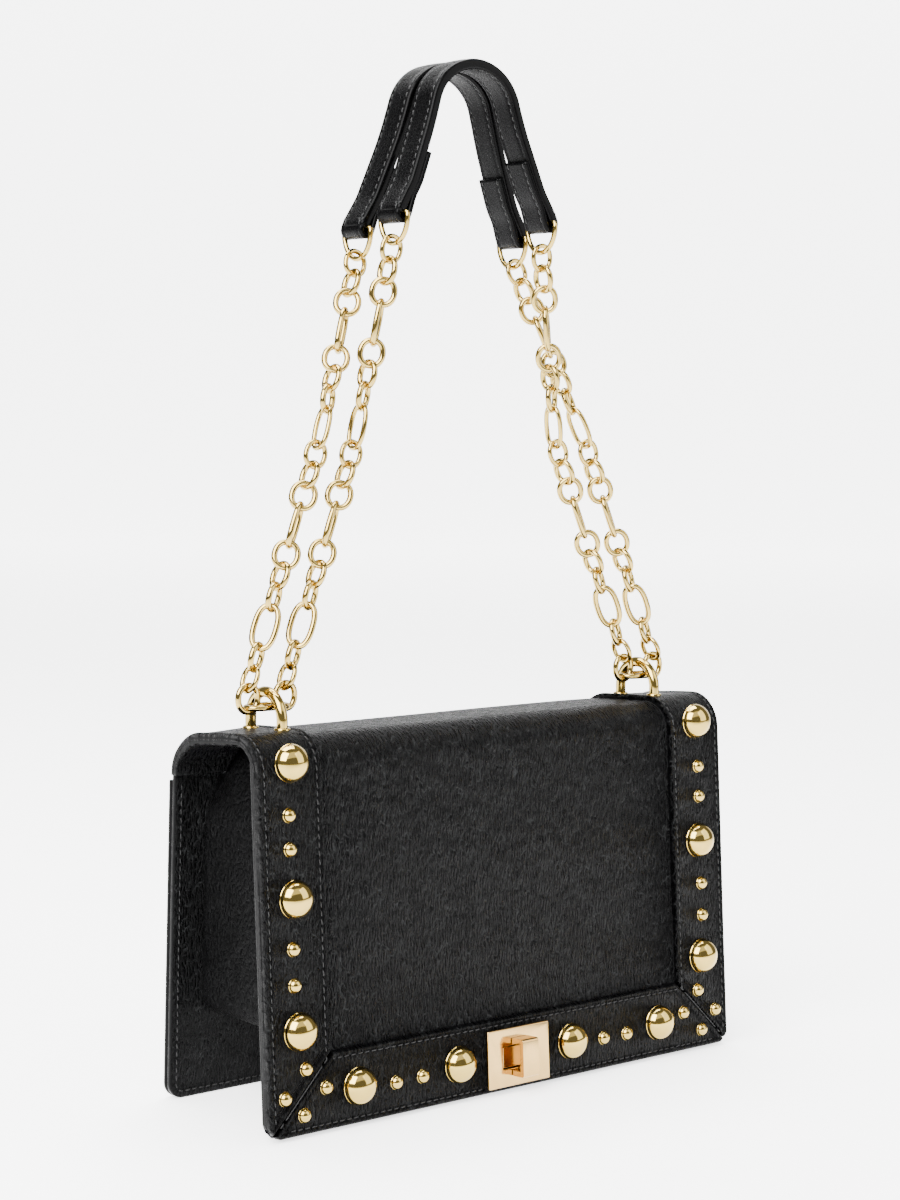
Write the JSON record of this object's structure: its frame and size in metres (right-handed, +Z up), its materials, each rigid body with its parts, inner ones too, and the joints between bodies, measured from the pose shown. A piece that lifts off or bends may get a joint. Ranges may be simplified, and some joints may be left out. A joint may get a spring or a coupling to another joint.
{
  "type": "crossbody bag",
  "caption": "Stiff flap bag with a studded frame, a turn lock and a doubled chain strap that carries two leather shoulder pads.",
  "frame": {"origin": "middle of the base of the whole object's box, on the floor that the bag stands on", "axes": "+X across the bag, to the right of someone who faces its front; -Y towards the front; +Z up"},
  "size_m": [0.27, 0.0966, 0.46],
  "materials": {
    "pebbled_leather": "black, fine pebble grain, low sheen",
    "painted_leather": "black, smooth, soft gloss",
    "lining_cloth": "black twill, matte",
    "polished_gold": "pale gold plate, polished"
  },
  "bodies": {
    "bag_body": {"front_panel": "pebbled_leather", "back_panel": "pebbled_leather", "rear_pocket_panel": "pebbled_leather", "gusset": "pebbled_leather", "lining": "lining_cloth", "inner_pocket": "lining_cloth", "toggle_base": "polished_gold", "toggle_base_backing": "polished_gold"},
    "flap": {"flap_panel": "pebbled_leather", "flap_trim_left": "pebbled_leather", "flap_trim_right": "pebbled_leather", "flap_trim_bottom": "pebbled_leather", "large_stud_left_1": "polished_gold", "large_stud_left_2": "polished_gold", "large_stud_left_3": "polished_gold", "large_stud_left_4": "polished_gold", "large_stud_left_5": "polished_gold", "large_stud_right_1": "polished_gold", "large_stud_right_2": "polished_gold", "large_stud_right_3": "polished_gold", "large_stud_right_4": "polished_gold", "large_stud_right_5": "polished_gold", "lock_plate": "polished_gold", "lock_backing": "polished_gold", "strap_arch_left": "polished_gold", "strap_arch_right": "polished_gold", "arch_links_left": "polished_gold", "arch_links_right": "polished_gold"},
    "toggle": {"turn_toggle": "polished_gold", "toggle_rivet": "polished_gold"},
    "strap_lower": {"chain_lower_left_inner": "polished_gold", "chain_lower_left_outer": "polished_gold", "chain_lower_right_inner": "polished_gold", "chain_lower_right_outer": "polished_gold"},
    "strap_upper": {"chain_upper_left_inner": "polished_gold", "chain_upper_left_outer": "polished_gold", "chain_upper_right_inner": "polished_gold", "chain_upper_right_outer": "polished_gold"},
    "front_pad": {"front_shoulder_pad": "painted_leather", "front_pad_ring_left": "polished_gold", "front_pad_ring_right": "polished_gold"},
    "rear_pad": {"rear_shoulder_pad": "painted_leather", "rear_pad_ring_left": "polished_gold", "rear_pad_ring_right": "polished_gold"}
  },
  "joints": [
    {"name": "flap_hinge", "type": "hinge", "parent": "bag_body", "child": "flap", "pos_m": [0, 0.04397, 0.14535], "axis": [-1, 0, 0], "range_deg": [0, 115]},
    {"name": "toggle_turn", "type": "hinge", "parent": "bag_body", "child": "toggle", "pos_m": [0, -0.03522, 0.01636], "axis": [0, -0.9976, 0.0698], "range_deg": [0, 90]},
    {"name": "strap_swing", "type": "hinge", "parent": "flap", "child": "strap_lower", "pos_m": [0, 0.00263, 0.18679], "axis": [1, 0, 0], "range_deg": [-85, 85]},
    {"name": "strap_bend", "type": "hinge", "parent": "strap_lower", "child": "strap_upper", "pos_m": [0, 0.00893, 0.28964], "axis": [1, 0, 0], "range_deg": [-75, 75]},
    {"name": "front_pad_tip", "type": "hinge", "parent": "strap_upper", "child": "front_pad", "pos_m": [0, 0.00263, 0.37977], "axis": [1, 0, 0], "range_deg": [0, 70]},
    {"name": "rear_pad_tip", "type": "hinge", "parent": "strap_upper", "child": "rear_pad", "pos_m": [0, 0.02563, 0.37374], "axis": [1, 0, 0], "range_deg": [-70, 0]}
  ]
}
